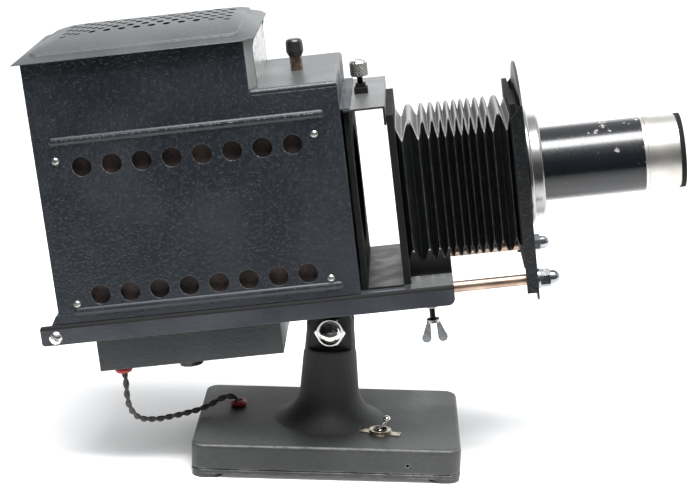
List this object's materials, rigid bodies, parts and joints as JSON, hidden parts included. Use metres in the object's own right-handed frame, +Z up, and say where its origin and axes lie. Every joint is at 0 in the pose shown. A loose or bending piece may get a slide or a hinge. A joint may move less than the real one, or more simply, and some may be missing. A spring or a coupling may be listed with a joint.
{
  "type": "magic lantern slide projector",
  "caption": "Lantern-slide projector with a tipping lamp house, open slide stage, bellows and sliding lens standard on a tilting pillar stand.",
  "frame": {"origin": "on the table, at the centre of the base, under the tilt axis", "axes": "+X towards the lens, +Y away from the operator's side, +Z up; the rail rests tilted with the lens end up"},
  "size_m": [0.5637, 0.172, 0.387],
  "materials": {
    "grey_enamel": "semi-matt grey enamel on a casting",
    "house_enamel": "fine crinkled dark blue-grey enamel",
    "light_enamel": "the same enamel, worn smooth and lighter",
    "rail_enamel": "semi-matt blue-grey enamel",
    "black_enamel": "matt black enamel",
    "gloss_black": "gloss black enamel",
    "bare_steel": "bare steel, dull",
    "bright_metal": "polished nickel plate",
    "brass": "aged brass",
    "copper": "bare copper-coloured metal",
    "black_plastic": "moulded black plastic",
    "red_fibre": "red vulcanised fibre",
    "ceramic": "glazed ceramic",
    "brown_enamel": "dull brown heat-darkened enamel",
    "leather": "black pleated leather, paler at the folds",
    "cord_braid": "dark braided cover",
    "clear_glass": "clear glass",
    "silvered": "silvered hollow mirror"
  },
  "bodies": {
    "base": {"base_casting": "grey_enamel", "base_plate": "grey_enamel", "base_screws": "bare_steel", "tilt_bolt": "bright_metal", "tilt_nut": "bright_metal", "switch_body": "black_plastic", "switch_plate": "brass", "switch_nut": "brass", "base_bushing": "red_fibre", "inlet_bushing": "red_fibre", "lamp_cord": "cord_braid"},
    "toggle": {"toggle_lever": "bright_metal"},
    "head": {"rail": "rail_enamel", "tilt_lug": "grey_enamel", "wiring_box": "rail_enamel", "box_bushing": "red_fibre", "lamp_socket": "ceramic", "lamp_base": "brass", "lamp_bulb": "clear_glass", "reflector": "silvered", "reflector_bracket": "bare_steel", "condenser_cell": "black_enamel", "condenser_lens_rear": "clear_glass", "condenser_lens_front": "clear_glass", "stage_plate": "black_enamel", "stage_floor": "bare_steel", "stage_bridge": "bare_steel", "bridge_block": "black_enamel", "bellows_rear_frame": "black_enamel", "bellows": "leather", "rod_guides": "bare_steel", "pivot_screws": "bright_metal"},
    "lamp_house": {"house_side_left": "house_enamel", "house_side_right": "house_enamel", "house_rear": "house_enamel", "house_front_wall": "house_enamel", "house_shelf": "light_enamel", "upper_front_plate": "bare_steel", "vent_cap": "light_enamel", "baffles": "brown_enamel", "baffle_screws": "brass", "hinge_straps": "house_enamel", "knob_post": "copper", "handle_knob": "black_plastic"},
    "front_standard": {"lens_board": "house_enamel", "bellows_front_frame": "black_enamel", "rods": "copper", "rod_nuts": "bright_metal", "lens_flange": "bright_metal", "lens_jacket": "gloss_black"},
    "lens": {"lens_barrel": "bright_metal", "lens_rim": "black_enamel", "front_glass": "clear_glass", "rear_glass": "clear_glass"},
    "carrier_screw": {"thumb_screw": "bright_metal"},
    "clamp_screw": {"wing_screw": "bright_metal"},
    "lamp_clamp": {"lamp_knob": "black_plastic"}
  },
  "joints": [
    {"name": "head_tilt", "type": "hinge", "parent": "base", "child": "head", "pos_m": [0, 0, 0.1135], "axis": [0, -1, 0], "range_deg": [-15, 12], "deforming": ["lamp_cord"]},
    {"name": "lamphouse_tip", "type": "hinge", "parent": "head", "child": "lamp_house", "pos_m": [-0.2292, 0, 0.12095], "axis": [0, -1, 0], "range_deg": [0, 45]},
    {"name": "front_slide", "type": "slide", "parent": "head", "child": "front_standard", "axis": [0.9912, 0, 0.1323], "range_m": [-0.045, 0.04], "deforming": ["bellows"]},
    {"name": "lens_slide", "type": "slide", "parent": "front_standard", "child": "lens", "axis": [0.9912, 0, 0.1323], "range_m": [-0.0025, 0.04]},
    {"name": "toggle", "type": "hinge", "parent": "base", "child": "toggle", "pos_m": [0.046, -0.04, 0.031], "axis": [0.2588, 0.9659, 0], "range_deg": [-50, 0]},
    {"name": "carrier_screw_turn", "type": "hinge", "parent": "head", "child": "carrier_screw", "pos_m": [0.02258, 0, 0.32232], "axis": [-0.1323, 0, 0.9912], "range_deg": [-180, 180]},
    {"name": "clamp_screw_turn", "type": "hinge", "parent": "head", "child": "clamp_screw", "pos_m": [0.0902, -0.059, 0.12554], "axis": [-0.1323, 0, 0.9912], "range_deg": [-180, 180]},
    {"name": "lamp_clamp_turn", "type": "hinge", "parent": "head", "child": "lamp_clamp", "pos_m": [-0.12489, 0, 0.09684], "axis": [-0.1323, 0, 0.9912], "range_deg": [-180, 180]}
  ]
}
